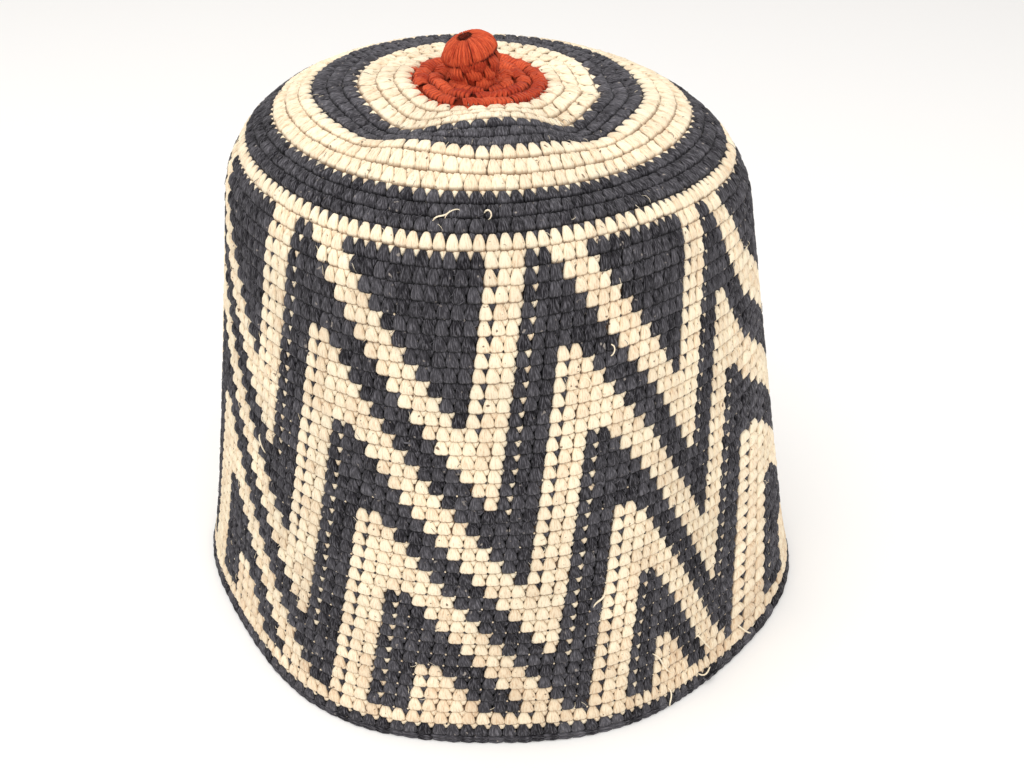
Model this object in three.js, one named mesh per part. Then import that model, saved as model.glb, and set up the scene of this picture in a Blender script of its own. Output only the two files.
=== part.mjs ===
// A crocheted prestige hat, standing by itself: a wrapped knob on a small rosette, a top in
// rings, a tall wall in rounds of crochet, and a dark edging round at the hem.
// Millimetres, +Z up. The origin is under the middle of the hat, level with the hem's
// underside, and -Y is the front.
// The work starts under the knob, and a place on it is known by its reach, the distance from
// the middle of the top along the outside, and by its turn, the angle round the hat from +X.

import * as THREE from 'three';

// Outside form
const hemRadius = 93.5;         // of the wall's straight line, without its flare
const hemFlareWidth = 1.5;      // how far the hem turns out
const flareHeight = 8;          // over which the flare dies away
const shoulderRadius = 74.2;    // the widest that the shoulder's bend reaches
const shoulderBendRadius = 34.3;   // of the bend from wall to top, in section
const hatHeight = 174.8;        // hem to the middle of the top, without the knob
const topSlope = 8.6;           // degrees, where the top meets the shoulder's turn
const topLean = { x: -7.5, y: 0 };     // how far the top stands off the middle of the hem

// Crochet
const fabricThickness = 3.2;
const roundRelief = 0.7;        // depth of the groove between two rounds
const pieceGap = 0.3;           // between two pieces
const rosetteRadius = 20;
const rosetteRounds = 3;
const crownRoundHeight = 4.22;
const crownRounds = 12;
const wallRounds = 36;
const lastRoundsGrowth = 0.014;  // how much of the wall's length its last rounds gain
const edgingHeight = 7;

// Knob
const knobRadius = 7.7;
const knobHeight = 10.5;        // of the ball
const neckRadius = 6;
const neckHeight = 4.8;
const knobDimple = 1.6;
const knobLean = { x: -0.17, y: 0 };   // sideways for each millimetre up
const knobOffset = { x: -0.28, y: -0.25 };   // of its foot on the rosette, in neck radii
const knobStrands = 16;
const strandRelief = 0.45;

// How finely the solids are cut
const segments = 42;
const roundsPerInsideStep = 3;
const knobSegments = knobStrands * 2;

// The hat isn't quite round. Each row bends it in so many waves, as a share of the radius,
// highest towards that turn: one share at the hem, one at the top, and a mix between them.
// The finer waves are those of the front, and fade to nothing at the back.
const outOfRound = [
  { waves: 2, hem: 0.090, top: 0.018, hemTowards: 8, topTowards: -24, fadeBehind: 0 },
  { waves: 3, hem: 0.052, top: 0.026, hemTowards: 45, topTowards: -2.7, fadeBehind: 1 },
  { waves: 4, hem: 0.056, top: 0.021, hemTowards: -17.4, topTowards: -1.6, fadeBehind: 1 },
  { waves: 5, hem: 0.041, top: 0, hemTowards: 10.4, topTowards: 0, fadeBehind: 1 },
];

// Dents of the soft top, and where one has a negative depth, a bump. Places and widths are
// shares of the crown's reach, depths are shares of the shoulder's bend, and the spread is how
// many degrees round the hat a dent takes up.
const dents = [
  { name: 'dish', towards: 0, reach: 0, width: 0.28, spread: 720, depth: 0.05 },
  { name: 'left hollow', towards: -130, reach: 0.52, width: 0.19, spread: 20, depth: 0.11 },
  { name: 'right hollow', towards: -42, reach: 0.51, width: 0.17, spread: 16, depth: 0.14 },
  { name: 'front bump', towards: -85, reach: 0.46, width: 0.11, spread: 24, depth: -0.08 },
  { name: 'left bump', towards: -110, reach: 0.67, width: 0.1, spread: 16, depth: -0.08 },
  { name: 'side hollow', towards: 7, reach: 0.45, width: 0.16, spread: 16, depth: 0.12 },
  { name: 'shoulder hollow', towards: -49, reach: 0.82, width: 0.15, spread: 34, depth: 0.12 },
];

const radians = THREE.MathUtils.degToRad;

// Section of the outside: an arc over the top, the shoulder's bend, and a straight wall that
// touches the bend and ends at the hem
const slope = radians(topSlope);
const turnCentreRadius = shoulderRadius - shoulderBendRadius;
const topRimRadius = turnCentreRadius + shoulderBendRadius * Math.sin(slope);
const topArcRadius = topRimRadius / Math.sin(slope);
const topArcRise = topRimRadius * Math.tan(slope / 2);
const turnCentreHeight = hatHeight - topArcRise - shoulderBendRadius * Math.cos(slope);
const hemToCentre = Math.hypot(hemRadius - turnCentreRadius, turnCentreHeight);
const wallLength = Math.sqrt(hemToCentre ** 2 - shoulderBendRadius ** 2);
const wallLean = Math.atan2(hemRadius - turnCentreRadius, turnCentreHeight)
  - Math.asin(shoulderBendRadius / hemToCentre);
const topArcLength = topArcRadius * slope;
const turnLength = shoulderBendRadius * (Math.PI / 2 - wallLean - slope);
const hemReach = topArcLength + turnLength + wallLength;

// Reaches where one piece ends and the next begins
const crownReach = rosetteRadius + crownRounds * crownRoundHeight;
const edgingReach = hemReach - edgingHeight;

// The wall's rounds are of one height, but for the last few, which are stretched by wear
const evenRounds = (share) => share;
const wallRoundsSpread = (share) => share - lastRoundsGrowth * (share - share ** 6);

// Radius, height and facing (from straight up) of the outside at a reach
function section(reach) {
  if (reach < topArcLength) {
    const facing = reach / topArcRadius;
    return {
      radius: topArcRadius * Math.sin(facing),
      height: hatHeight - topArcRadius * (1 - Math.cos(facing)),
      facing,
    };
  }
  const along = reach - topArcLength;
  if (along < turnLength) {
    const facing = slope + along / shoulderBendRadius;
    return {
      radius: turnCentreRadius + shoulderBendRadius * Math.sin(facing),
      height: turnCentreHeight + shoulderBendRadius * Math.cos(facing),
      facing,
    };
  }
  const aboveHem = hemReach - reach;
  const height = aboveHem * Math.cos(wallLean);
  const flare = hemFlareWidth * Math.exp(-height / flareHeight);
  return {
    radius: hemRadius - aboveHem * Math.sin(wallLean) + flare,
    height,
    facing: Math.PI / 2 - wallLean,
  };
}

// How far the dents press the fabric in at a place
function dentDepth(reach, turn) {
  let depth = 0;
  for (const dent of dents) {
    const away = (reach / crownReach - dent.reach) / dent.width;
    const offTurn = turn - radians(dent.towards);
    const round = Math.atan2(Math.sin(offTurn), Math.cos(offTurn)) / radians(dent.spread);
    depth += dent.depth * shoulderBendRadius * Math.exp(-(away ** 2) - round ** 2);
  }
  return depth;
}

// A point of the hat: so deep under the outside at a reach and a turn
function fabricPoint(reach, depth, turn) {
  const place = section(reach);
  const inset = depth + dentDepth(reach, turn);
  const radius = place.radius - inset * Math.sin(place.facing);
  const height = place.height - inset * Math.cos(place.facing);
  const rise = THREE.MathUtils.clamp(height / hatHeight, 0, 1);
  let stretch = 1;
  for (const { waves, hem, top, hemTowards, topTowards, fadeBehind } of outOfRound) {
    const strength = 1 - (fadeBehind * (1 + Math.sin(turn))) / 2;
    const hemPart = hem * (1 - rise) * Math.cos(waves * (turn - radians(hemTowards)));
    const topPart = top * rise * Math.cos(waves * (turn - radians(topTowards)));
    stretch += strength * (hemPart + topPart);
  }
  const x = radius * stretch * Math.cos(turn) + topLean.x * rise;
  const y = radius * stretch * Math.sin(turn) + topLean.y * rise;
  return new THREE.Vector3(x, y, height);
}

function ring(reach, depth) {
  return Array.from({ length: segments }, (_, step) => {
    return fabricPoint(reach, depth, (2 * Math.PI * step) / segments);
  });
}

// Outside rings from one reach in to a smaller one: a groove beside every round and the full
// height of the yarn in its middle
function outsideRings(outerReach, innerReach, rounds, spread = evenRounds) {
  const rings = [];
  for (let half = 2 * rounds; half >= 0; half -= 1) {
    const reach = THREE.MathUtils.lerp(innerReach, outerReach, spread(half / (2 * rounds)));
    rings.push(ring(reach, half % 2 === 0 ? roundRelief : 0));
  }
  return rings;
}

// Inside rings from one reach out to a larger one
function insideRings(innerReach, outerReach, rounds) {
  const steps = Math.ceil(rounds / roundsPerInsideStep);
  return Array.from({ length: steps + 1 }, (_, step) => {
    return ring(THREE.MathUtils.lerp(innerReach, outerReach, step / steps), fabricThickness);
  });
}

// A closed body from a row of rings of equal length. Without poles the last ring joins the
// first, and with them each end is closed by a fan round its pole.
function closedBody(rings, poles) {
  const count = rings[0].length;
  const points = rings.flat();
  const index = [];
  const corner = (row, step) => (row % rings.length) * count + (step % count);
  for (let row = 0; row < (poles ? rings.length - 1 : rings.length); row += 1) {
    for (let step = 0; step < count; step += 1) {
      index.push(corner(row, step), corner(row, step + 1), corner(row + 1, step + 1));
      index.push(corner(row, step), corner(row + 1, step + 1), corner(row + 1, step));
    }
  }
  if (poles) {
    const first = points.push(poles.first) - 1;
    const last = points.push(poles.last) - 1;
    for (let step = 0; step < count; step += 1) {
      index.push(first, corner(0, step + 1), corner(0, step));
      index.push(last, corner(rings.length - 1, step), corner(rings.length - 1, step + 1));
    }
  }
  const geometry = new THREE.BufferGeometry().setFromPoints(points);
  geometry.setIndex(index);
  geometry.computeVertexNormals();
  return geometry;
}

function yarn(color) {
  return new THREE.MeshStandardMaterial({ color, roughness: 0.92, metalness: 0 });
}

const coral = 0xd8502c;
const cream = 0xf0ddbb;
const charcoal = 0x46484d;

function piece(name, geometry, color) {
  const mesh = new THREE.Mesh(geometry, yarn(color));
  mesh.name = name;
  return mesh;
}

// The top and shoulder, with the hole that the rosette fills
function crown() {
  const outer = crownReach - pieceGap / 2;
  const inner = rosetteRadius + pieceGap / 2;
  const rings = [
    ...outsideRings(outer, inner, crownRounds),
    ...insideRings(inner, outer, crownRounds),
  ];
  return piece('crown', closedBody(rings), cream);
}

function sideWall() {
  const outer = edgingReach - pieceGap / 2;
  const inner = crownReach + pieceGap / 2;
  const rings = [
    ...outsideRings(outer, inner, wallRounds, wallRoundsSpread),
    ...insideRings(inner, outer, wallRounds),
  ];
  return piece('side_wall', closedBody(rings), cream);
}

// The last round. Its underside is flat: a ring that lies deeper in the leaning wall has to
// end a little higher up it to reach the same level.
function hemEdging() {
  const inner = edgingReach + pieceGap / 2;
  const levelReach = (depth) => hemReach - depth * Math.tan(wallLean);
  const rings = [
    ring(levelReach(roundRelief), roundRelief),
    ring((inner + hemReach) / 2, 0),
    ring(inner, roundRelief),
    ring(inner, fabricThickness),
    ring(levelReach(fabricThickness), fabricThickness),
  ];
  return piece('hem_edging', closedBody(rings), charcoal);
}

// The start of the work: a smooth middle under the knob's foot, then its own rounds
function rosette() {
  const edge = rosetteRadius - pieceGap / 2;
  const rings = [
    ring(neckRadius, fabricThickness),
    ring(edge, fabricThickness),
    ...outsideRings(edge, neckRadius, rosetteRounds),
  ];
  const poles = { first: fabricPoint(0, fabricThickness, 0), last: fabricPoint(0, 0, 0) };
  return piece('rosette', closedBody(rings, poles), coral);
}

// The knob's outline in section, from the foot up: a straight neck, then a ball as an ellipse
// that ends in a dimple. The share goes from 0 at the neck to 1 at the dimple's rim.
function knobOutline() {
  const neckAngle = -Math.acos(neckRadius / knobRadius);
  const dimpleAngle = radians(66);
  const half = knobHeight / 2;
  const ballMiddle = neckHeight - half * Math.sin(neckAngle);
  const ballSteps = 9;
  const outline = [
    { radius: neckRadius, height: 0, relief: 0 },
    { radius: neckRadius, height: neckHeight / 2, relief: 0.5 },
  ];
  for (let step = 0; step <= ballSteps; step += 1) {
    const angle = THREE.MathUtils.lerp(neckAngle, dimpleAngle, step / ballSteps);
    outline.push({
      radius: knobRadius * Math.cos(angle),
      height: ballMiddle + half * Math.sin(angle),
      relief: step < ballSteps ? 1 : 0.5,
    });
  }
  return outline;
}

// A point of the knob above its foot, which leans over as it goes up
function knobPoint(radius, height, turn) {
  const x = radius * Math.cos(turn) + knobLean.x * height;
  const y = radius * Math.sin(turn) + knobLean.y * height;
  return new THREE.Vector3(x, y, height);
}

// The knob stands level near the middle of the rosette, clear of the cloth under its foot
function knob() {
  const outline = knobOutline();
  const rings = outline.map(({ radius, height, relief }) => {
    return Array.from({ length: knobSegments }, (_, step) => {
      const strand = step % 2 === 0 ? 0 : strandRelief * relief;
      return knobPoint(radius - strand, height, (2 * Math.PI * step) / knobSegments);
    });
  });
  const rim = outline[outline.length - 1];
  const poles = { first: knobPoint(0, 0, 0), last: knobPoint(0, rim.height - knobDimple, 0) };
  const mesh = piece('knob', closedBody(rings, poles), coral);
  const middle = fabricPoint(0, 0, 0);
  const foot = new THREE.Vector3(knobOffset.x * neckRadius, knobOffset.y * neckRadius, 0);
  const under = ring(neckRadius + foot.length(), 0);
  const footHeight = Math.max(middle.z, ...under.map((point) => point.z));
  mesh.position.set(middle.x + foot.x, middle.y + foot.y, footHeight + pieceGap);
  return mesh;
}

const hat = new THREE.Group();
hat.name = 'prestige_hat';
hat.add(knob(), rosette(), crown(), sideWall(), hemEdging());

// The hem is bent out of round, so the hat is moved until its box is centred on the origin
const boxCentre = new THREE.Box3().setFromObject(hat, true).getCenter(new THREE.Vector3());
hat.position.set(-boxCentre.x, -boxCentre.y, 0);

export default hat;
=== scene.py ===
"""The crocheted prestige hat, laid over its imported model.

The hat is one long spiral of crochet from the knob down to the hem. A place on it is known by its
reach, the distance from the middle of the top along the outside, by its turn, the angle round the
hat from +X, and by its depth under the outside. Sizes here are in millimetres and degrees, as in
the model's source, and meshes are laid down in metres. +Z is up and -Y is the front.
"""
import math

import bpy
import numpy as np
from mathutils import Matrix, Vector


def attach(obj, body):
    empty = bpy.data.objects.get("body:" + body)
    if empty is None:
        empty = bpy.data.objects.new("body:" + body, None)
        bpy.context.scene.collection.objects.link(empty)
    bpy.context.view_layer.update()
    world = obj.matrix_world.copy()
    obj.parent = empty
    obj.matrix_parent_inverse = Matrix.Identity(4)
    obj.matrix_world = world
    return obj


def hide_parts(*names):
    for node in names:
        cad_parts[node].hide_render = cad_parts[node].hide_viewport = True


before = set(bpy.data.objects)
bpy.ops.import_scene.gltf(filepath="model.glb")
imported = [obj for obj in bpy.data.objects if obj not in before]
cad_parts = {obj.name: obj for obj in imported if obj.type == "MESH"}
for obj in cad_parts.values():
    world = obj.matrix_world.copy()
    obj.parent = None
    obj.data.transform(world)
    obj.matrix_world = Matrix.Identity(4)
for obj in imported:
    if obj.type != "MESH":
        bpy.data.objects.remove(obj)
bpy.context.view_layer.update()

MM = 0.001

# The hat's form, from the same named sizes as the model
HEM_RADIUS = 93.5
HEM_FLARE_WIDTH = 1.5
FLARE_HEIGHT = 8.0
SHOULDER_RADIUS = 74.2
SHOULDER_BEND = 34.3
HAT_HEIGHT = 174.8
TOP_SLOPE = math.radians(8.6)
TOP_LEAN = (-7.5, 0.0)
FABRIC_THICKNESS = 3.2
PIECE_GAP = 0.3
ROSETTE_RADIUS = 20.0
CROWN_ROUND_HEIGHT = 4.22
CROWN_ROUNDS = 12
WALL_ROUNDS = 36
LAST_ROUNDS_GROWTH = 0.014
EDGING_HEIGHT = 7.0
SEGMENTS = 42                    # of the model, round the hat
KNOB_RADIUS = 7.7
KNOB_HEIGHT = 10.5
NECK_RADIUS = 6.0
NECK_HEIGHT = 4.8
KNOB_DIMPLE = 1.6
KNOB_LEAN = -0.17
KNOB_OFFSET = (-.28, -.25)       # of its foot on the rosette, in neck radii

# waves, share of the radius at the hem and at the top, highest towards (degrees), fade behind
OUT_OF_ROUND = [
    (2, .090, .018, 8, -24, 0),
    (3, .052, .026, 45, -2.7, 1),
    (4, .056, .021, -17.4, -1.6, 1),
    (5, .041, 0, 10.4, 0, 1),
]
# towards, reach, width (shares of the crown's reach), spread (degrees), depth (of the turn)
DENTS = [
    (0, 0, .28, 720, .05),
    (-130, .52, .19, 20, .11),
    (-42, .51, .17, 16, .14),
    (-85, .46, .11, 24, -.08),
    (-110, .67, .10, 16, -.08),
    (7, .45, .16, 16, .12),
    (-49, .82, .15, 34, .12),
]

TURN_CENTRE = SHOULDER_RADIUS - SHOULDER_BEND
TOP_RIM = TURN_CENTRE + SHOULDER_BEND * math.sin(TOP_SLOPE)
TOP_ARC_RADIUS = TOP_RIM / math.sin(TOP_SLOPE)
TURN_CENTRE_HEIGHT = (HAT_HEIGHT - TOP_RIM * math.tan(TOP_SLOPE / 2)
                      - SHOULDER_BEND * math.cos(TOP_SLOPE))
HEM_TO_CENTRE = math.hypot(HEM_RADIUS - TURN_CENTRE, TURN_CENTRE_HEIGHT)
WALL_LENGTH = math.sqrt(HEM_TO_CENTRE ** 2 - SHOULDER_BEND ** 2)
WALL_LEAN = (math.atan2(HEM_RADIUS - TURN_CENTRE, TURN_CENTRE_HEIGHT)
             - math.asin(SHOULDER_BEND / HEM_TO_CENTRE))
TOP_ARC = TOP_ARC_RADIUS * TOP_SLOPE
TURN_ARC = SHOULDER_BEND * (math.pi / 2 - WALL_LEAN - TOP_SLOPE)
HEM_REACH = TOP_ARC + TURN_ARC + WALL_LENGTH
CROWN_REACH = ROSETTE_RADIUS + CROWN_ROUNDS * CROWN_ROUND_HEIGHT
EDGING_REACH = HEM_REACH - EDGING_HEIGHT


def section(reach):
    """Radius, height and facing (from straight up) of the outside: an arc over the top, the
    shoulder's turn, and a straight wall with a small flare at its foot."""
    on_top = reach < TOP_ARC
    on_turn = (reach >= TOP_ARC) & (reach < TOP_ARC + TURN_ARC)
    facing = np.where(on_top, reach / TOP_ARC_RADIUS, TOP_SLOPE + (reach - TOP_ARC) / SHOULDER_BEND)
    facing = np.where(on_top | on_turn, facing, math.pi / 2 - WALL_LEAN)
    above = HEM_REACH - reach
    wall_height = above * math.cos(WALL_LEAN)
    wall_radius = (HEM_RADIUS - above * math.sin(WALL_LEAN)
                   + HEM_FLARE_WIDTH * np.exp(-wall_height / FLARE_HEIGHT))
    turn_radius = TURN_CENTRE + SHOULDER_BEND * np.sin(facing)
    turn_height = TURN_CENTRE_HEIGHT + SHOULDER_BEND * np.cos(facing)
    top_radius = TOP_ARC_RADIUS * np.sin(facing)
    top_height = HAT_HEIGHT - TOP_ARC_RADIUS * (1 - np.cos(facing))
    radius = np.where(on_top, top_radius, np.where(on_turn, turn_radius, wall_radius))
    height = np.where(on_top, top_height, np.where(on_turn, turn_height, wall_height))
    return radius, height, facing


def dent_depth(reach, turn):
    """How far the dents press in: each is a bell over the reach times a bell over the turn."""
    depth = 0.0
    for towards, at, width, spread, sink in DENTS:
        off = turn - math.radians(towards)
        round_it = np.arctan2(np.sin(off), np.cos(off)) / math.radians(spread)
        away = (reach / CROWN_REACH - at) / width
        depth = depth + sink * SHOULDER_BEND * np.exp(-away ** 2 - round_it ** 2)
    return depth


def form_point(reach, depth, turn):
    """The section turned round the hat and bent out of round: the radius is stretched by a sum
    of cosine waves that mix from hem to top, and the top leans to one side."""
    radius, height, facing = section(reach)
    inset = depth + dent_depth(reach, turn)
    radius = radius - inset * np.sin(facing)
    height = height - inset * np.cos(facing)
    rise = np.clip(height / HAT_HEIGHT, 0, 1)
    stretch = 1.0
    for waves, hem, top, hem_towards, top_towards, fade in OUT_OF_ROUND:
        strength = 1 - fade * (1 + np.sin(turn)) / 2
        stretch = stretch + strength * (
            hem * (1 - rise) * np.cos(waves * (turn - math.radians(hem_towards)))
            + top * rise * np.cos(waves * (turn - math.radians(top_towards))))
    x = radius * stretch * np.cos(turn) + TOP_LEAN[0] * rise
    y = radius * stretch * np.sin(turn) + TOP_LEAN[1] * rise
    return np.stack([x, y, height], -1)


def hem_middle():
    """Middle of the form's own box, which the model is centred on: the hem is its widest part."""
    turn = np.linspace(0, 2 * math.pi, SEGMENTS, endpoint=False)
    rim = form_point(np.linspace(HEM_REACH - 12, HEM_REACH, 25)[:, None], 0.0, turn[None])
    rim = rim.reshape(-1, 3)
    return (rim.min(0) + rim.max(0)) / 2 * (1, 1, 0)


MIDDLE = hem_middle()


def hat_point(reach, depth, turn):
    """A point of the hat in the model's frame."""
    return form_point(reach, depth, turn) - MIDDLE


# Rounds of crochet
WALL_STITCHES = 132
FIRST_COLUMN = -90 + 1.5505      # left edge of the front V's first column in the second round
COLUMN = 360 / WALL_STITCHES
ROUND_DRIFT = -0.4872            # each round sits this much further round than the last
CROWN_STITCH_AT = (-14, -11, -8, -4, 0)      # rounds between which the stitch narrows
CROWN_STITCH_WIDTH = (5.4, 4.7, 4.0, 3.45, 3.36)
NOMINAL_STITCH = 3.9             # the stitch that the forms below are drawn for
NOMINAL_ROUND = 4.3
GROUND_DEPTH = 1.35              # of the fabric that the stitches lie on, under the outside
ROSETTE_GROUND_DEPTH = .60
HEM_SPREAD_FROM = 27.5           # the round from which the hem's sinking is shared out
HEM_SPREAD_ROUNDS = 9            # and the number of rounds that share it
CREAM, CHARCOAL, CORAL = 0, 1, 2


def round_edge(number):
    """Reach of a place given in rounds: round n lies between n - 0.5 and n + 0.5. Rounds are even
    on the crown, and on the wall even but for the last few, which are stretched. Round 1 is the
    wall's first, 0 the crown's last."""
    share = (number - 0.5) / WALL_ROUNDS
    spread = share - LAST_ROUNDS_GROWTH * (share - np.abs(share) ** 6)
    on_wall = CROWN_REACH + (EDGING_REACH - CROWN_REACH) * spread
    return np.where(number > 0.5, on_wall, CROWN_REACH + (number - 0.5) * CROWN_ROUND_HEIGHT)


# The rounds don't lie quite round each other. At each edge: how much wider it lies, how
# far it is pushed and towards where, and how oval it is and towards where (mm and degrees).
EDGE_WANDER = [
    (-15.5, 0, 0, 0, 0, 0),
    (-11.5, .1, 1.0, 133, 1.6, 101),
    (-8.5, 1.6, 1.6, 124, .7, 77),
    (-5.5, .88, 3.51, 120, .38, 90),
    (-2.5, .5, .7, -124, .9, 31),
    (.5, 0, 0, 0, 0, 0),
    (10, 1.8, 0, 0, 0, 0),
    (18.5, 1.3, .6, -60, 0, 0),
    (27.5, 1.4, 0, 0, 0, 0),
    (32.5, .3, 0, 0, 0, 0),
    (36.5, 0, 0, 0, 0, 0),
]
HEM_SINK = 2.1                   # how much lower the hem's round begins away from the front


def hem_sink(turn):
    """How much lower the last round begins: nothing in front, rising as a bell on either side."""
    off = np.arctan2(np.sin(turn + math.pi / 2), np.cos(turn + math.pi / 2)) / math.radians(24)
    return HEM_SINK * (1 - np.exp(-off ** 2))


def edge_wander(number, turn):
    """How far out a round's edge lies beyond its even place: a constant, one wave and two waves
    round the hat, mixed evenly from each edge in the table to the next, and the hem's sinking
    shared out over the last nine rounds."""
    at, wider, by, towards, oval, oval_towards = np.array(EDGE_WANDER, float).T
    towards, oval_towards = np.radians(towards), np.radians(oval_towards)
    mix = lambda value: np.interp(number, at, value)
    return (mix(wider) + mix(by * np.cos(towards)) * np.cos(turn)
            + mix(by * np.sin(towards)) * np.sin(turn)
            + mix(oval * np.cos(2 * oval_towards)) * np.cos(2 * turn)
            + mix(oval * np.sin(2 * oval_towards)) * np.sin(2 * turn)
            + hem_sink(turn) * np.clip((number - HEM_SPREAD_FROM) / HEM_SPREAD_ROUNDS, 0, 1))


def wall_chart():
    """Colour of each stitch of the wall. Seven repeats, each a post of three columns with a stair
    that comes down to its right, three stitches wide in each colour: the number of threes below
    the stair or right of the post, whichever is less, is counted for each repeat, and the
    greatest count is cream where it is odd and charcoal where it is even. The first stitch of
    each corner is left out, so a new colour starts with two stitches."""
    starts = np.array([0, 18, 37, 56, 75, 94, 113])
    column = np.arange(WALL_STITCHES)
    row = np.arange(1, WALL_ROUNDS + 1)
    across = (column[None, :] - starts[:, None]) % WALL_STITCHES
    stair = row[None, :, None] + 2 - across[:, None, :]
    below = np.floor(stair / 3)
    beside = np.floor(across[:, None, :] / 3) - 1
    corner = (stair % 3 == 0) & (across[:, None, :] % 3 == 0) & (below == beside)
    count = np.maximum((np.minimum(below, beside) - corner).max(0), -2)
    chart = np.where(count % 2 == 0, CHARCOAL, CREAM)
    chart[0] = CREAM
    chart[-1] = CREAM
    return chart


CHART = wall_chart()


# Where the right side is pinched and stretched: columns, and the even place where each one lies
PULLED_COLUMNS = (0, 15, 21, 27, 30, 33, 42, 132)
PULLED_PLACES = (0, 15, 19.4, 23.1, 25.7, 30.6, 42, 132)


def column_place(column):
    """The even place of a column, pinched and stretched at the right side."""
    turns = np.floor(np.asarray(column) / WALL_STITCHES)
    return np.interp(column - turns * WALL_STITCHES, PULLED_COLUMNS, PULLED_PLACES) + (
        turns * WALL_STITCHES)


def wall_turn(number, column):
    """Turn of a place on the wall, columns counted from the left edge of the front V's post."""
    return np.radians(FIRST_COLUMN + COLUMN * column_place(column) + ROUND_DRIFT * (number - 2))


def wall_stitch(column):
    """The part of a full turn that the stitch in a column takes."""
    return np.radians(COLUMN * (column_place(column + 1.0) - column_place(column)))


def chart_colour(number, turn):
    """Colour of the wall at a round and a turn."""
    column = (np.degrees(turn) - FIRST_COLUMN - ROUND_DRIFT * (number - 2)) / COLUMN
    column = np.interp(column % WALL_STITCHES, PULLED_PLACES, PULLED_COLUMNS)
    row = np.clip(np.round(number).astype(int), 1, WALL_ROUNDS) - 1
    return CHART[row, np.floor(column).astype(int) % WALL_STITCHES]


def crown_colour(number):
    """The crown's rings: three rounds each of charcoal, cream, charcoal and cream, coral inside."""
    ring = np.floor((-number) / 3).astype(int)
    return np.where(ring >= 4, CORAL, np.where(ring % 2 == 0, CHARCOAL, CREAM))


def lay_mesh(name, points, faces, uv, values, materials, node_name, face_material=None):
    """Puts points in millimetres, groups of faces with the same number of corners, a UV for each
    corner in the same order and named values for each point into one mesh, in metres, which
    stands for a node of the model and carries the slot of its yarn."""
    mesh = bpy.data.meshes.new(name)
    totals = np.concatenate([np.full(len(f), f.shape[1], np.int32) for f in faces])
    corners = np.concatenate([f.reshape(-1) for f in faces]).astype(np.int32)
    starts = np.concatenate([[0], np.cumsum(totals)[:-1]]).astype(np.int32)
    mesh.vertices.add(len(points))
    mesh.vertices.foreach_set("co", (points * MM).astype(np.float32).reshape(-1))
    mesh.loops.add(len(corners))
    mesh.loops.foreach_set("vertex_index", corners)
    mesh.polygons.add(len(totals))
    mesh.polygons.foreach_set("loop_start", starts)
    mesh.polygons.foreach_set("loop_total", totals)
    mesh.polygons.foreach_set("use_smooth", np.ones(len(totals), bool))
    if face_material is not None:
        mesh.polygons.foreach_set("material_index", face_material.astype(np.int32))
    if uv is not None:
        layer = mesh.uv_layers.new(name="yarn")
        layer.data.foreach_set("uv", uv.astype(np.float32).reshape(-1))
    for key, value in values.items():
        attribute = mesh.attributes.new(key, "FLOAT", "POINT")
        attribute.data.foreach_set("value", value.astype(np.float32))
    mesh.update(calc_edges=True)
    mesh.validate()
    for material in materials:
        mesh.materials.append(material)
    piece = bpy.data.objects.new(name, mesh)
    bpy.context.scene.collection.objects.link(piece)
    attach(piece, "root")
    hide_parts(node_name)


def oval(sides):
    """The section of a plain strand, as shares of its half width and half thickness."""
    angle = 2 * math.pi * (np.arange(sides) + 0.5) / sides
    return np.stack([np.cos(angle), np.sin(angle)], 1)


# The section of a whole stitch: steep sides, and a shallow crease between its two legs
PAD = np.array([(1, -.6), (.97, .30), (.68, .86), (.28, .98), (0, .84), (-.28, .98), (-.68, .86),
                (-.97, .30), (-1, -.6)])


def strand_form(path, half_width, half_thickness, section):
    """A closed strand along a path of points (across, up, out): at each point its section,
    half_width across the strand and half_thickness outwards, the ends closed. Returns points,
    groups of faces, a UV for each corner (round and along the strand, in millimetres) and how low
    each point lies on the strand, for painted shade in its low places and at its ends."""
    path = np.array(path, float)
    along = np.gradient(path, axis=0)
    along /= np.linalg.norm(along, axis=1, keepdims=True)
    out = np.array([0, 0, 1.0]) - along * along[:, 2:3]
    out /= np.linalg.norm(out, axis=1, keepdims=True)
    across = np.cross(out, along)
    wide = np.array(half_width, float)[:, None, None]
    thick = np.array(half_thickness, float)[:, None, None]
    points = (path[:, None] + across[:, None] * section[None, :, 0:1] * wide
              + out[:, None] * section[None, :, 1:2] * thick)
    rows, sides = len(path), len(section)
    row, col = np.meshgrid(np.arange(rows - 1), np.arange(sides), indexing="ij")
    row, col = row.reshape(-1), col.reshape(-1)
    index = lambda r, c: r * sides + c % sides
    quads = np.stack([index(row, col), index(row, col + 1), index(row + 1, col + 1),
                      index(row + 1, col)], 1)
    caps = np.array([np.arange(sides)[::-1], (rows - 1) * sides + np.arange(sides)])
    length = np.concatenate([[0], np.cumsum(np.linalg.norm(np.diff(path, axis=0), axis=1))])
    sized = section * (np.max(half_width), np.max(half_thickness))
    girth = np.linalg.norm(np.roll(sized, -1, 0) - sized, axis=1)
    girth = np.concatenate([[0], np.cumsum(girth)])
    quad_uv = np.stack([girth[np.stack([col, col + 1, col + 1, col], 1)],
                        length[np.stack([row, row, row + 1, row + 1], 1)]], -1)
    cap_uv = np.zeros((2, sides, 2))
    cap_uv[1, :, 1] = length[-1]
    # painted shade: the underside of each strand and its two ends, where it dives into the round,
    # count as low
    low = 0.5 - 0.5 * section[None, :, 1] + np.zeros((rows, 1))
    low = np.maximum(low, np.abs(np.linspace(-1, 1, rows))[:, None] ** 6 * 0.9)
    return points.reshape(-1, 3), [quads, caps], [quad_uv, cap_uv], low.reshape(-1)


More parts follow.
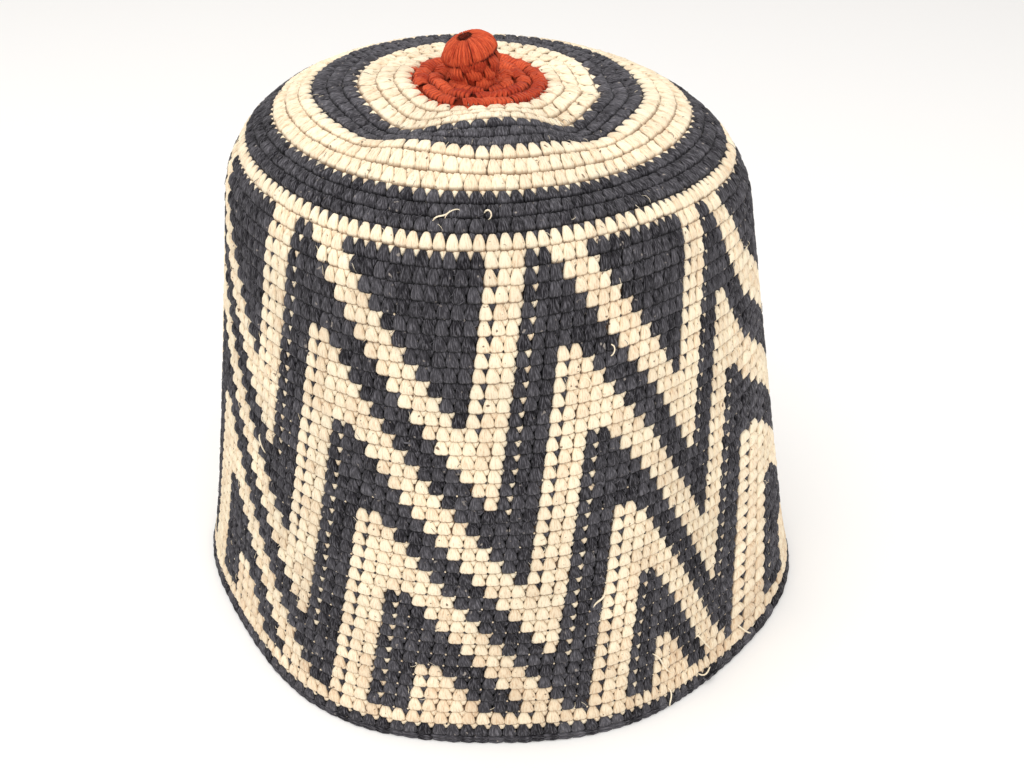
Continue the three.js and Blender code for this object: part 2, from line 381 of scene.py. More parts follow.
def gather(points, faces, uvs):
    """Faces of several sets of points as one, in groups with the same number of corners, and
    their corners' UVs in the same order."""
    groups, corner_uvs, first = {}, {}, 0
    for own_points, own_faces, own_uvs in zip(points, faces, uvs):
        for face, uv in zip(own_faces, own_uvs):
            groups.setdefault(face.shape[1], []).append(face + first)
            corner_uvs.setdefault(face.shape[1], []).append(uv)
        first += len(own_points)
    corners = sorted(groups)
    return ([np.concatenate(groups[k]) for k in corners],
            [np.concatenate(corner_uvs[k]) for k in corners])


def join_forms(*forms):
    """Several strands as one form."""
    points, faces, uvs, shade_lows = zip(*forms)
    return (np.concatenate(points), *gather(points, faces, uvs), np.concatenate(shade_lows))


def copies(form, placed, tone, shift):
    """Many copies of a form whose points are already placed (copy, point, 3): faces and UVs are
    repeated, each copy's UVs moved along by its own shift, and its tone given to its points."""
    points, faces, uvs, low = form
    count, size = placed.shape[:2]
    first = (np.arange(count) * size)[:, None, None]
    return (placed.reshape(-1, 3),
            [(face[None] + first).reshape(-1, face.shape[1]) for face in faces],
            [(uv[None] + shift[:, None, None, :]).reshape(-1, *uv.shape[1:]) for uv in uvs],
            np.repeat(tone, size), np.tile(low, count))


def lay_yarn(name, parts, material, node_name, recess_shade=1.0):
    """Several sets of copies as one piece of yarn that stands for a node of the model. Its last
    argument scales the painted shade in the low places of its strands.
    """
    points, faces, uvs, tones, shade_lows = zip(*parts)
    faces, uvs = gather(points, faces, uvs)
    # the low value is painted shade for the strands' low places and ends
    lay_mesh(name, np.concatenate(points), faces, np.concatenate([uv.reshape(-1, 2) for uv in uvs]),
             {"tone": np.concatenate(tones), "low": recess_shade * np.concatenate(shade_lows)}, [material],
             node_name)


# A stitch is narrow at its top, where it comes out of the round before, and spreads to its foot.
# The gap beside its top shows the head of the stitch before it.
BODY = strand_form(
    [(0, .12, -1.5), (0, -.62, -.66), (.03, -1.75, -.44), (.09, -3.2, -.46), (.12, -4.3, -1.15)],
    (.55, 1.12, 1.66, 2.02, 1.98), (.42, .66, .80, .84, .62), PAD)
GAP_HEAD = strand_form(
    [(1.90, .42, -1.35), (1.90, -.38, -.80), (1.88, -1.5, -.96), (1.84, -2.5, -1.6)],
    (1.15, 1.22, .72, .15), (.35, .56, .46, .15), oval(5))
SPECK = strand_form([(1.75, -3.6, -.50), (1.85, -4.0, -.30), (1.9, -4.45, -.5)],
                    (.15, .36, .15), (.12, .28, .12), oval(4))


def on_rounds(number, across, up, out, turn, stitch):
    """Where a stitch's own across, up and out lie: rounds count on towards the hem."""
    edge = number[:, None] - .5 - up / NOMINAL_ROUND
    at = turn[:, None] + across * (stitch / NOMINAL_STITCH)[:, None]
    return hat_point(round_edge(edge) + edge_wander(edge, at), -out, at)


def on_hem(number, across, up, out, turn, stitch):
    """The same for the last round, which is lower where it begins lower."""
    at = turn[:, None] + across * (stitch / NOMINAL_STITCH)[:, None]
    sink = hem_sink(at)
    return hat_point(EDGING_REACH + sink - up * (1 - sink / EDGING_HEIGHT), -out, at)


def place_form(form, number, turn, stitch, chance, liveliness=1.0, lay=on_rounds, length=1.0):
    """Copies of a form on the hat. chance holds five even numbers from -1 to 1 for each copy,
    which widen it, lift it, lean it and move it a little. length draws it out towards the hem."""
    points = form[0]
    up = points[None, :, 1] * np.reshape(length, (-1, 1))
    across = (points[None, :, 0] * (1 + .05 * liveliness * chance[:, 0:1])
              + .05 * liveliness * chance[:, 2:3] * up + .14 * liveliness * chance[:, 3:4])
    out = points[None, :, 2] + .12 * liveliness * chance[:, 1:2]
    up = up + .15 * liveliness * chance[:, 4:5]
    return lay(number, across, up, out, turn, stitch)


def round_stitches():
    """Every stitch of the crown and the wall: its round, turn, the part of a full turn that it
    takes, its colour and the colour in the gap beside its top, as arrays."""
    rows = []
    for number in range(1 - CROWN_ROUNDS, 1):
        middle = float(round_edge(np.float64(number)))
        radius = float(section(np.float64(middle))[0])
        width = float(np.interp(number, CROWN_STITCH_AT, CROWN_STITCH_WIDTH))
        count = int(round(2 * math.pi * radius / width))
        turn = 2 * math.pi * (np.arange(count) + .5 + .37 * number) / count
        body = np.full(count, int(crown_colour(np.float64(number))))
        gap = np.full(count, int(crown_colour(np.float64(number - 1))))
        rows.append((np.full(count, number), turn, np.full(count, 2 * math.pi / count), body, gap))
    for number in range(1, WALL_ROUNDS + 1):
        column = np.arange(WALL_STITCHES)
        gap = np.roll(CHART[number - 2], 1) if number > 1 else np.full(WALL_STITCHES, CHARCOAL)
        rows.append((np.full(WALL_STITCHES, number), wall_turn(number, column + .5),
                     wall_stitch(column), CHART[number - 1], gap))
    number, turn, stitch, body, gap = (np.concatenate(r) for r in zip(*rows))
    return number.astype(float), turn, stitch, body, gap


YARN_TWIST = math.radians(9)
STREAK_LENGTH = .22              # streaks along the yarn for each streak across it
STREAK_SHARE = .70               # of a streak in how light the yarn is


def node(tree, kind, **settings):
    """A shader node with its settings, those of its sockets by name."""
    made = tree.nodes.new(kind)
    for key, value in settings.items():
        if key in made.inputs:
            made.inputs[key].default_value = value
        else:
            setattr(made, key, value)
    return made


def noise(tree, vector, scale, detail, roughness):
    """Soft noise over a vector."""
    made = node(tree, "ShaderNodeTexNoise", Scale=scale, Detail=detail, Roughness=roughness)
    tree.links.new(vector, made.inputs["Vector"])
    return made.outputs["Fac"]


def stretched(tree, value, low, high, to_low=0.0, to_high=1.0):
    """A value between low and high spread from to_low to to_high."""
    made = node(tree, "ShaderNodeMapRange", **{
        "From Min": low, "From Max": high, "To Min": to_low, "To Max": to_high})
    tree.links.new(value, made.inputs["Value"])
    return made.outputs["Result"]


def mixed(tree, share, first, second):
    """Two colours mixed by a share of the second. The first may come from another node."""
    made = node(tree, "ShaderNodeMix", data_type="RGBA")
    if isinstance(first, tuple):
        made.inputs["A"].default_value = (*first, 1)
    else:
        tree.links.new(first, made.inputs["A"])
    made.inputs["B"].default_value = (*second, 1)
    tree.links.new(share, made.inputs["Factor"])
    return made.outputs["Result"]


def dimmed(tree, colour, share):
    """A colour times a share."""
    made = node(tree, "ShaderNodeVectorMath", operation="SCALE")
    tree.links.new(colour, made.inputs[0])
    tree.links.new(share, made.inputs["Scale"])
    return made.outputs["Vector"]


def bumped(tree, height, strength, depth, under=None):
    """A bump of a depth in millimetres, over another bump."""
    made = node(tree, "ShaderNodeBump", Strength=strength, Distance=depth * MM)
    tree.links.new(height, made.inputs["Height"])
    if under is not None:
        tree.links.new(under, made.inputs["Normal"])
    return made.outputs["Normal"]


def matte_material(name, roughness, shine):
    """A matte material, its nodes and its shader."""
    material = bpy.data.materials.new(name)
    material.use_nodes = True
    shader = material.node_tree.nodes["Principled BSDF"]
    shader.inputs["Roughness"].default_value = roughness
    shader.inputs["Specular IOR Level"].default_value = shine
    return material, material.node_tree, shader


def yarn_material(name, high, low, shade_colour, lint, sheen, streak_depth, streaks_per_mm,
                  streak_range):
    """Cotton yarn of many loose strands. Streaks run along each strand (noise on the yarn's own
    UV, squeezed round it), their colour mixes from low to high by streak and tone, then towards
    painted shade in the strands' low places, and wide soft stains lie over it in the hat's own
    coordinates."""
    material, tree, shader = matte_material(name, .92, .15)
    link = tree.links.new
    shader.inputs["Sheen Weight"].default_value = sheen
    shader.inputs["Sheen Roughness"].default_value = .6
    twist = node(tree, "ShaderNodeMapping", vector_type="POINT", Rotation=(0, 0, YARN_TWIST),
                 Scale=(streaks_per_mm, streaks_per_mm * STREAK_LENGTH, 1))
    link(node(tree, "ShaderNodeUVMap", uv_map="yarn").outputs["UV"], twist.inputs["Vector"])
    streaks = noise(tree, twist.outputs["Vector"], 1.0, 3.0, .6)
    place = node(tree, "ShaderNodeTexCoord").outputs["Object"]
    tone = node(tree, "ShaderNodeAttribute", attribute_name="tone").outputs["Fac"]
    # painted shade: how low each point lies on its strand
    recess_shade = node(tree, "ShaderNodeAttribute", attribute_name="low").outputs["Fac"]
    lift = node(tree, "ShaderNodeMath", operation="MULTIPLY_ADD", use_clamp=True)
    link(stretched(tree, streaks, *streak_range), lift.inputs[0])
    lift.inputs[1].default_value = STREAK_SHARE
    link(tone, lift.inputs[2])
    colour = mixed(tree, lift.outputs["Value"], low, high)
    # painted shade: the strands' low places and ends mix towards a dark shade colour
    colour = mixed(tree, stretched(tree, recess_shade, .30, .80, 0.0, .88), colour, shade_colour)
    specks = noise(tree, place, 620.0, 1.0, .5)
    colour = mixed(tree, stretched(tree, specks, .72, .78), colour, lint)
    stains = noise(tree, place, 28.0, 4.0, .62)
    colour = dimmed(tree, colour, stretched(tree, stains, .35, .75, 1.06, .84))
    link(colour, shader.inputs["Base Color"])
    fuzz = bumped(tree, noise(tree, place, 2600.0, 2.0, .6), .35, .2)
    link(bumped(tree, streaks, 1.0, streak_depth, fuzz), shader.inputs["Normal"])
    return material


def cloth_material(name, cream, charcoal, coral, bump_depth):
    """The fabric behind the stitches: its colour from the value painted on it (0 cream, 1
    charcoal, 2 coral), broken up by noise."""
    material, tree, shader = matte_material(name, .95, .1)
    place = node(tree, "ShaderNodeTexCoord").outputs["Object"]
    fuzz = noise(tree, place, 1500.0, 4.0, .65)
    dye = node(tree, "ShaderNodeAttribute", attribute_name="dye").outputs["Fac"]
    colour = mixed(tree, stretched(tree, dye, .45, .55), cream, charcoal)
    colour = mixed(tree, stretched(tree, dye, 1.45, 1.55), colour, coral)
    colour = dimmed(tree, colour, stretched(tree, fuzz, .3, .7, .6, 1.25))
    tree.links.new(colour, shader.inputs["Base Color"])
    tree.links.new(bumped(tree, fuzz, .8, bump_depth), shader.inputs["Normal"])
    return material


# Colours of each yarn: high, low, painted shade for the low places of its strands, lint.
cream_yarn = yarn_material("cream_yarn_finish", (.97, .85, .64), (.70, .49, .31),
                           (.26, .145, .075), (.18, .11, .07), .10, .26, 2.1, (.34, .52))
charcoal_yarn = yarn_material("charcoal_yarn_finish", (.200, .192, .215), (.008, .007, .010),
                              (.004, .004, .006), (.34, .30, .27), .04, .60, 2.4, (.47, .67))
coral_yarn = yarn_material("coral_yarn_finish", (.76, .125, .045), (.36, .028, .010),
                           (.10, .008, .004), (.30, .03, .012), .04, .34, 2.3, (.36, .60))
# The ground cloth's colours are painted shade: the yarn deep in the gaps between stitches, much
# darker than the yarn itself.
shaded_ground_cloth = cloth_material("ground_cloth_finish", (.33, .20, .12), (.014, .014, .018),
                              (.16, .018, .006), .3)
inside_cloth = cloth_material("inside_cloth_finish", (.72, .56, .38), (.055, .057, .066),
                              (.45, .06, .02), .3)


def turned_shell(name, rows, row_material, row_dye, node_name, poles=False):
    """A closed shell from rows of points round the hat, in a loop: rows is (row, column, 3). With
    poles the first and last rows are single points drawn out to a ring of the same point, whose
    doubles are merged into a fan. Its faces are ground cloth painted in shade (0) or inside
    cloth (1) by row."""
    count, columns = rows.shape[:2]
    last = count - 1 if poles else count
    row, col = np.meshgrid(np.arange(last), np.arange(columns), indexing="ij")
    a = row * columns + col
    b = row * columns + (col + 1) % columns
    c = ((row + 1) % count) * columns + (col + 1) % columns
    d = ((row + 1) % count) * columns + col
    quads = np.stack([a, b, c, d], -1).reshape(-1, 4)
    points = rows.reshape(-1, 3)
    face_material = np.repeat(np.asarray(row_material)[:last], columns)
    groups = [quads]
    if poles:
        keep = np.ones(len(quads), bool)
        keep[:columns] = False
        keep[-columns:] = False
        first_ring, last_ring = columns, (count - 2) * columns
        col = np.arange(columns)
        fan_top = np.stack([np.zeros(columns, int), first_ring + (col + 1) % columns,
                            first_ring + col], 1)
        fan_low = np.stack([np.full(columns, (count - 1) * columns), last_ring + col,
                            last_ring + (col + 1) % columns], 1)
        groups = [np.concatenate([fan_top, fan_low])[:, ::-1], quads[keep]]
        face_material = np.concatenate([np.full(columns, row_material[0]),
                                        np.full(columns, row_material[-1]), face_material[keep]])
        used = np.ones(len(points), bool)
        used[1:columns] = False
        used[(count - 1) * columns + 1:] = False
        remap = np.cumsum(used) - 1
        points = points[used]
        groups = [remap[g] for g in groups]
        row_dye = row_dye.reshape(-1)[used]
    lay_mesh(name, points, groups, None, {"dye": row_dye.reshape(-1)},
             [shaded_ground_cloth, inside_cloth], node_name, face_material)


def fabric_shell(name, first_number, last_number, columns, start, end, node_name,
                 colour_of):
    """The fabric that the stitches lie on, a closed shell: an outer face just under them, painted
    in shade where it shows between them, and the wrong side of the crochet on the inside, a bar
    for each stitch. The inside height is a bell over each round times a cosine over each stitch."""
    per_stitch, per_round = 2, 4
    rounds = last_number - first_number + 1
    turn = np.linspace(0, 2 * math.pi, columns * per_stitch, endpoint=False)
    number = np.linspace(first_number - .5, last_number + .5, rounds * per_round + 1)
    number_grid, turn_grid = np.meshgrid(number, turn, indexing="ij")
    reach_grid = round_edge(number_grid) + edge_wander(number_grid, turn_grid)
    reach_grid[0], reach_grid[-1] = start, end
    reach_grid = np.clip(reach_grid, start, end)
    phase = number_grid - np.floor(number_grid + .5)
    column = (np.degrees(turn_grid) - FIRST_COLUMN - ROUND_DRIFT * (number_grid - 2)) / COLUMN
    bar = np.exp(-(phase / .26) ** 2) * (.55 + .45 * np.cos(2 * math.pi * (column - .5)))
    inner = hat_point(reach_grid, FABRIC_THICKNESS - .15 - .75 * (1 - bar), turn_grid)
    outer = hat_point(reach_grid[::2], GROUND_DEPTH, turn_grid[::2])
    rows = np.concatenate([inner, outer[::-1]])
    dye = colour_of(number_grid, turn_grid).astype(float)
    dyes = np.concatenate([dye, dye[::2][::-1]])
    row_material = np.concatenate([np.ones(len(inner) - 1), np.zeros(len(outer) + 1)])
    turned_shell(name, rows, row_material, dyes, node_name)


def rosette_fabric():
    """The closed disc under the rosette's loops, painted in shade on top, and its wrong side."""
    columns = 72
    turn = np.linspace(0, 2 * math.pi, columns, endpoint=False)
    edge = ROSETTE_RADIUS - PIECE_GAP / 2
    below = np.concatenate([[0], np.linspace(1.5, edge, 12)])
    above = np.concatenate([np.linspace(edge, 2, 8), [0]])
    waves = .35 * np.cos(2 * math.pi * (below - 1.5) / 4.2)
    lower = hat_point(below[:, None], (FABRIC_THICKNESS - .35 + waves)[:, None], turn[None])
    upper = hat_point(above[:, None], ROSETTE_GROUND_DEPTH + 0 * above[:, None], turn[None])
    rows = np.concatenate([lower, upper])
    dyes = np.full(rows.shape[:2], float(CORAL))
    row_material = np.concatenate([np.ones(len(below)), np.zeros(len(above))])
    turned_shell("rosette_fabric", rows, row_material, dyes, "rosette", poles=True)


def hem_fabric():
    """The closed ring inside the hem's last round, flat below, its outer face painted in shade."""
    columns = WALL_STITCHES * 2
    turn = np.linspace(0, 2 * math.pi, columns, endpoint=False)
    start = EDGING_REACH + PIECE_GAP / 2
    level = lambda depth: HEM_REACH - .15 - depth * math.tan(WALL_LEAN)
    profile = [(start, 3.0), (start + 2, 2.7), (start + 4, 3.1), (level(3.1), 3.0),
               (level(1.4), 1.4), (start + 3.5, 1.3), (start, 1.3)]
    rows = np.stack([hat_point(np.float64(r), d, turn) for r, d in profile])
    dyes = np.full(rows.shape[:2], float(CHARCOAL))
    turned_shell("hem_fabric", rows, np.array([1, 1, 1, 1, 0, 0, 0]), dyes, "hem_edging")


def chances(count, seed):
    """Even chances for count copies: how each is bent, its tone, and where its yarn starts."""
    rng = np.random.default_rng(seed)
    return (rng.uniform(-1, 1, (count, 5)), rng.uniform(0, .5, count),
            rng.uniform(0, 40, (count, 2)))


# Specks of the other yarn that shows at a stitch's corner, by the speck's colour: the colour
# round it, rounds and the chance that has to be passed at each, which chance it is, and the
# share of the stitch's tone that it takes
SPECK_RULES = {
    CREAM: (CHARCOAL, (10, 22, 28), (.97, .55, -.6), 0, 1.0),
    CHARCOAL: (CREAM, (8, 20, 30), (.90, .55, .05), 1, .2),
}


def lay_stitches():
    """The stitches of the crown and the wall, in pieces by colour and zone: whole stitches, the
    heads in the gaps beside them, and specks. The cream of the lower wall is darker towards the
    front right, and the charcoal of the outer rings of the crown is lighter."""
    number, turn, stitch, body, gap = round_stitches()
    chance, tone, shift = chances(len(number), 7)
    # tone shifts by place: the lower wall's cream darker towards the front right, a crown ring's
    # charcoal lighter
    darker_low_front_right = .30 * np.clip((number - 24) / 12, 0, 1) * (.6 + .4 * np.cos(turn - math.radians(-45)))
    lighter_crown_ring = .16 * np.clip(1 - np.abs(number + 7) / 3.5, 0, 1)
    zones = [
        ("crown", number < .5, "crown"),
        ("upper_wall", (number > .5) & (number < 12.5), "side_wall"),
        ("middle_wall", (number > 12.5) & (number < 24.5), "side_wall"),
        ("lower_wall", number > 24.5, "side_wall"),
    ]
    yarns = [("cream", CREAM, cream_yarn), ("charcoal", CHARCOAL, charcoal_yarn),
             ("coral", CORAL, coral_yarn)]
    for zone, here, node_name in zones:
        for colour_name, colour, material in yarns:
            parts = []
            for form, painted in ((BODY, body), (GAP_HEAD, gap)):
                mine = here & (painted == colour)
                if mine.any():
                    size = 1.0 + (1.1 * np.maximum(chance[mine, 4], -.3) if colour == CORAL else 0)
                    placed = place_form(form, number[mine], turn[mine], stitch[mine], chance[mine],
                                        length=size)
                    shifted_tone = tone[mine] - darker_low_front_right[mine]
                    if colour == CHARCOAL:
                        shifted_tone = .55 * tone[mine] + lighter_crown_ring[mine]
                    parts.append(copies(form, placed, shifted_tone, shift[mine]))
            if colour in SPECK_RULES and zone != "crown":
                ground, rounds, above, which, light = SPECK_RULES[colour]
                lucky = chance[:, which] > np.interp(number, rounds, above)
                mine = here & (body == ground) & (gap == ground) & lucky
                placed = place_form(SPECK, number[mine], turn[mine], stitch[mine], chance[mine])
                parts.append(copies(SPECK, placed, light * tone[mine], shift[mine]))
            if parts:
                lay_yarn(f"{zone}_{colour_name}_stitches", parts, material, node_name)


def bundle(strands, spread_top, spread_foot, path, half_width, half_thickness, crown_by):
    """A loop of several strands side by side: their paths fan out from spread_top to spread_foot
    (millimetres from one strand to the next), the middle ones crown_by further out."""
    path = np.array(path, float)
    along = np.linspace(0, 1, len(path))
    forms = []
    for strand in range(strands):
        beside = strand - (strands - 1) / 2
        own = path.copy()
        own[:, 0] += beside * (spread_top + (spread_foot - spread_top) * np.sqrt(along))
        own[:, 2] += crown_by * (1 - (2 * beside / strands) ** 2) * np.sin(math.pi * along)
        own[:, 1] += .12 * (-1) ** strand
        forms.append(strand_form(own, half_width, half_thickness, oval(4)))
    return join_forms(*forms)


ROSETTE_LOOP = bundle(5, .50, .92, [(0, .6, -2.0), (.05, -.5, -.55), (.1, -2.0, .05),
                                    (.15, -3.5, -.10), (.2, -4.9, -1.7)],
                      (.36, .50, .56, .56, .40), (.36, .54, .62, .60, .36), .60)


def lay_rosette():
    """Three rounds of loose loops of several strands each and one more close in to the knob,
    all turned, lifted and leaned by chance."""
    parts = []
    for number, width in ((-15.3, 3.9), (-14.4, 4.4), (-13.3, 4.8), (-12.1, 5.0)):
        radius = float(section(round_edge(np.float64(number)))[0])
        count = int(round(2 * math.pi * radius / width))
        chance, tone, shift = chances(count, int(40 - number))
        turn = 2 * math.pi * (np.arange(count) + .6 * number + .25 * chance[:, 0]) / count
        stitch = np.full(count, 2 * math.pi / count) * (1.04 + .16 * chance[:, 3])
        chance[:, 2] *= 2.4
        placed = place_form(ROSETTE_LOOP, number + .12 * chance[:, 1], turn, stitch, chance, 3.4)
        parts.append(copies(ROSETTE_LOOP, placed, tone * 1.3 - .2, shift))
    lay_yarn("rosette_loops", parts, coral_yarn, "rosette")


HEM_UPPER_LINK = strand_form(
    [(-3.0, -5.0, -1.1), (-1.4, -4.65, -.55), (.4, -4.75, -.42), (1.8, -5.1, -.60),
     (3.0, -5.6, -1.2)],
    (.45, .72, .78, .70, .40), (.40, .62, .66, .60, .35), oval(6))
HEM_LOWER_LINK = strand_form(
    [(-3.0, -5.5, -1.3), (-1.4, -6.0, -.85), (.4, -6.15, -.75), (1.8, -6.0, -.85),
     (3.0, -5.6, -1.3)],
    (.40, .66, .72, .66, .38), (.40, .62, .66, .60, .35), oval(6))


def lay_hem_round():
    """The last round: a stitch under each of the wall's, cream heads in the gaps between them,
    and the chain of loops that ends it, two slanting strands to a stitch along the edge."""
    column = np.arange(WALL_STITCHES)
    number = np.full(WALL_STITCHES, WALL_ROUNDS + 1.0)
    turn = wall_turn(WALL_ROUNDS + 1, column + .5)
    stitch = wall_stitch(column)
    chance, tone, shift = chances(WALL_STITCHES, 11)
    for name, forms, material in (
            ("hem_round", (BODY, HEM_UPPER_LINK, HEM_LOWER_LINK), charcoal_yarn),
            ("hem_heads", (GAP_HEAD,), cream_yarn)):
        parts = []
        for form in forms:
            placed = place_form(form, number, turn, stitch, chance, .8, on_hem)
            parts.append(copies(form, placed, tone - .1, shift))
        lay_yarn(name, parts, material, "hem_edging")


FIBRE = strand_form([(-.2, 1.5, -.2), (.25, .6, .26), (.1, -.5, .36), (-.35, -1.5, -.1)],
                    (.05, .075, .075, .05), (.05, .075, .075, .05), oval(3))
FIBRES = 2600


def lay_fibres():
    """Short fibres that stand off the rubbed yarn of the crown and the wall, strewn evenly."""
    rng = np.random.default_rng(31)
    count = FIBRES
    number = rng.uniform(-11, WALL_ROUNDS, count)
    turn = rng.uniform(-math.pi, math.pi, count)
    colour = np.where(number > .5, chart_colour(number, turn), crown_colour(np.round(number)))
    chance = rng.uniform(-1, 1, (count, 5))
    swing = rng.uniform(-1.1, 1.1, count)[:, None]
    points = FIBRE[0][None]
    across = points[..., 0] * np.cos(swing) - points[..., 1] * np.sin(swing)
    up = points[..., 0] * np.sin(swing) + points[..., 1] * np.cos(swing)
    stitch = np.full(count, math.radians(COLUMN))
    placed = on_rounds(number, across, up, points[..., 2] + .15 * chance[:, 1:2], turn, stitch)
    for name, mine, material in (("cream", colour == CREAM, cream_yarn),
                                 ("charcoal", colour == CHARCOAL, charcoal_yarn)):
        part = copies(FIBRE, placed[mine], np.full(mine.sum(), .55), 20 * chance[mine, 3:5])
        lay_yarn(f"{name}_fibres", [part], material, "side_wall", .3)


# Loose ends: round and column where each starts, its path from there (across, up, out), half
# its width and its colour. The first three are the wisps caught in the outer charcoal ring.
LOOSE_ENDS = [
    (-.2, -4.3, [(0, 0, .1), (1.6, 1.2, .5), (3.4, 1.6, .6), (5.2, 3.2, .4)], .22, CREAM),
    (-.4, -3.4, [(0, 0, .1), (1.2, 1.6, .6), (3.2, 2.6, .5), (4.6, 2.4, .2)], .16, CREAM),
    (-.6, .1, [(-1.6, .9, .1), (-.2, 1.4, .7), (.6, .2, .7), (-.4, -1.2, .4)], .26, CREAM),
    (26.2, 12.0, [(.6, 1.0, -.2), (-.6, -.8, .7), (-2.2, -1.8, .7), (-3.4, -4.0, .1)], .28, CREAM),
    (33.0, 17.9, [(-.4, 1.2, -.2), (1.6, -1.4, .9), (3.0, -5.0, .9), (6.6, -9.2, .2)], .26, CREAM),
    (36.4, 20.1, [(0, 1.6, -.2), (.4, -.2, .9), (-.3, -2.4, .9), (-.2, -4.6, .2)], .24, CREAM),
    (33.3, 24.4, [(-.4, 1.0, -.2), (.9, -1.8, .9), (2.8, -5.0, .8), (5.2, -8.6, .1)], .26, CREAM),
    (35.2, 30.5, [(-.4, .8, -.2), (1.2, -2.2, .8), (3.4, -5.0, .8), (5.4, -6.8, .1)], .26, CREAM),
    (36.5, 25.2, [(-.6, .2, -.2), (1.2, -.6, .9), (2.8, .1, .9), (4.2, -.2, .2)], .24, CREAM),
    (18.9, -17.5, [(-1.4, 1.0, -.2), (.2, .4, .8), (1.6, -1.6, .7), (2.4, -3.6, -.1)], .24, CREAM),
    (10.1, 8.6, [(-.8, 1.6, -.2), (.6, .9, .8), (.9, -.8, .8), (.2, -1.9, -.1)], .20, CREAM),
    (8.3, 10.4, [(-.6, 1.4, -.2), (.7, .4, .8), (.3, -1.2, .7), (-.4, -2.0, -.1)], .20, CREAM),
    (13.8, -3.9, [(-1.5, 1.2, 0), (-.3, .2, .7), (.9, .4, .8), (1.5, -1.4, .2)], .30, CHARCOAL),
    (17.3, 10.5, [(-1.3, -1.2, 0), (-.2, .1, .8), (.8, -.4, .8), (1.7, 1.3, .2)], .30, CHARCOAL),
    (37.2, 26.4, [(-1.8, 1.4, 0), (-.6, .3, 1.1), (1.0, .8, 1.2), (2.4, -.6, .3)], .26, CHARCOAL),
]


def lay_loose_ends():
    """Each loose end is a strand along a curve through its path's four points (a cubic)."""
    share = np.linspace(0, 1, 9)[:, None]
    steps = [-9 / 2 * (share - 1 / 3) * (share - 2 / 3) * (share - 1),
             27 / 2 * share * (share - 2 / 3) * (share - 1),
             -27 / 2 * share * (share - 1 / 3) * (share - 1),
             9 / 2 * share * (share - 1 / 3) * (share - 2 / 3)]
    for name, wanted, material in (("cream", CREAM, cream_yarn),
                                   ("charcoal", CHARCOAL, charcoal_yarn)):
        parts = []
        for number, column, path, half_width, colour in LOOSE_ENDS:
            if colour == wanted:
                path = sum(step * np.array(point) for step, point in zip(steps, path))
                width = half_width * np.array([.7, 1, 1, 1, 1, 1, .9, .7, .3])
                form = strand_form(path, width, width, oval(6))
                points = form[0][None]
                turn = np.array([float(wall_turn(number, column))])
                placed = on_rounds(np.array([number + .5]), points[..., 0], points[..., 1],
                                   points[..., 2], turn, np.array([math.radians(COLUMN)]))
                parts.append(copies(form, placed, np.array([.4]), np.array([[number, column]])))
        lay_yarn(f"{name}_loose_ends", parts, material, "side_wall", .3)


def knob_foot():
    """The knob's foot near the middle of the rosette, clear of the cloth round it."""
    offset = np.array(KNOB_OFFSET) * NECK_RADIUS
    middle = hat_point(np.float64(0), 0.0, np.float64(0))
    turn = np.linspace(0, 2 * math.pi, SEGMENTS, endpoint=False)
    under = hat_point(np.full(SEGMENTS, NECK_RADIUS + np.hypot(*offset)), 0.0, turn)
    return np.array([middle[0] + offset[0], middle[1] + offset[1],
                     max(middle[2], under[:, 2].max()) + PIECE_GAP])


KNOB_STRANDS = 54
KNOB_STRAND_DEPTH = .42          # of a strand's middle under the ball's outside
KNOB_TILT = math.radians(17)            # of the wrapping, towards the left
KNOB_TIP = math.radians(8)              # and towards the front


